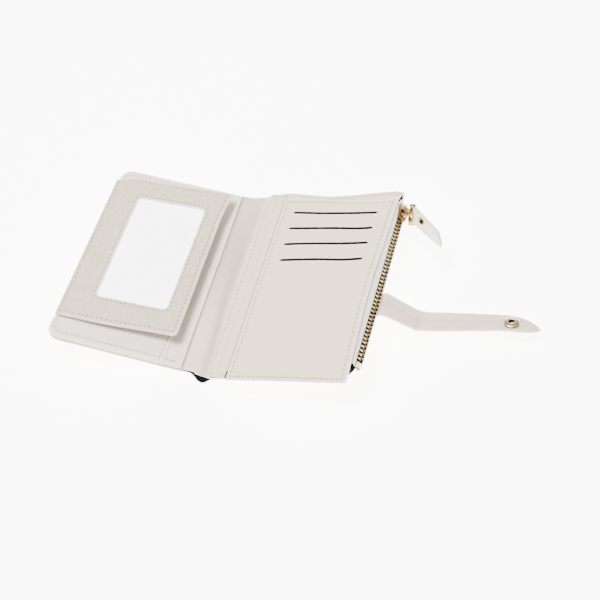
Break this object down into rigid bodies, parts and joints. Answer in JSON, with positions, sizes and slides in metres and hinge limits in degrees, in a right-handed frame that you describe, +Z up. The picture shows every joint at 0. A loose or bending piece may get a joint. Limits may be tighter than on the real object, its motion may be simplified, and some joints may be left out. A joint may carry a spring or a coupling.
{
  "type": "compact wallet",
  "caption": "Open two-fold leather wallet with card slots, zipped coin pocket, fold-out card window and a pointed snap strap.",
  "frame": {"origin": "middle of the flat patch of the zipped half's outer cover that rests on the table", "axes": "+X from the window half towards the strap, +Y along the spine away from the viewer, +Z up"},
  "size_m": [0.281, 0.132, 0.0292],
  "materials": {
    "cream_leather": "fine grained satin, cream beige",
    "brushed_leather": "brushed cross grain, slightly greyer",
    "black_lining": "matt woven",
    "zip_tape": "woven, pale grey green",
    "antique_brass": "dark antique",
    "gold_plated": "polished pale gold",
    "clear_film": "clear glossy",
    "blank_card": "plain white"
  },
  "bodies": {
    "right_half": {"cover_right": "cream_leather", "bill_lining_right": "black_lining", "coin_pocket_back": "cream_leather", "card_panel": "cream_leather", "card_sleeve_1": "black_lining", "card_sleeve_2": "black_lining", "card_sleeve_3": "black_lining", "card_sleeve_4": "black_lining", "zip_tape_upper": "zip_tape", "zip_tape_lower": "zip_tape", "zip_teeth_upper": "antique_brass", "zip_teeth_lower": "antique_brass", "zip_bottom_stop": "antique_brass", "zip_top_stop_upper": "antique_brass", "zip_top_stop_lower": "antique_brass", "gusset_front": "black_lining", "gusset_back": "black_lining", "strap_root": "cream_leather"},
    "spine": {"spine_cover": "cream_leather", "spine_inner_wall": "cream_leather"},
    "left_half": {"cover_left": "cream_leather", "bill_lining_left": "black_lining", "bill_wall_left": "cream_leather", "note_pocket": "cream_leather", "flap_hinge_bead": "brushed_leather", "snap_stud": "gold_plated"},
    "id_flap": {"flap_back": "cream_leather", "insert_card": "blank_card", "window_film": "clear_film", "flap_front": "brushed_leather"},
    "strap_mid": {"strap_mid": "cream_leather"},
    "strap_end": {"strap_end": "cream_leather", "snap_socket": "gold_plated", "snap_cap": "gold_plated"},
    "slider": {"slider_body": "gold_plated", "slider_back_plate": "gold_plated", "slider_bridge": "gold_plated"},
    "pull": {"pull_ring": "gold_plated", "pull_tab": "cream_leather", "pull_clamp": "gold_plated", "pull_rivet_front": "gold_plated", "pull_rivet_back": "gold_plated"}
  },
  "joints": [
    {"name": "fold_right", "type": "hinge", "parent": "right_half", "child": "spine", "pos_m": [-0.0355, 0, 0.0008], "axis": [0, 1, 0], "range_deg": [-10, 78.75]},
    {"name": "fold_left", "type": "hinge", "parent": "spine", "child": "left_half", "pos_m": [-0.0535, 0, 0.0008], "axis": [0, 1, 0], "range_deg": [-10, 78.75]},
    {"name": "flap_fold", "type": "hinge", "parent": "left_half", "child": "id_flap", "pos_m": [-0.13488, 0, 0.0229], "axis": [0, 1, 0], "range_deg": [-168, 4.5]},
    {"name": "strap_fold", "type": "hinge", "parent": "right_half", "child": "strap_mid", "pos_m": [0.06057, -0.0115, 0.01571], "axis": [0, -1, 0], "range_deg": [0, 139.6]},
    {"name": "strap_crease", "type": "hinge", "parent": "strap_mid", "child": "strap_end", "pos_m": [0.08265, -0.01092, 0.00377], "axis": [0.4397, -0.8945, 0.0805], "range_deg": [0, 52.66]},
    {"name": "zip_travel", "type": "slide", "parent": "right_half", "child": "slider", "axis": [0.0285, 0.9996, 0.005], "range_m": [-0.096, 0]},
    {"name": "pull_swing", "type": "hinge", "parent": "slider", "child": "pull", "pos_m": [0.05911, 0.05088, 0.02213], "axis": [-0.3419, 0.005, 0.9397], "range_deg": [-30, 110]}
  ],
  "couplings": [
    {"joint": "fold_left", "follows": "fold_right", "ratio": 1},
    {"joint": "strap_crease", "follows": "strap_fold", "ratio": 0.37712}
  ]
}
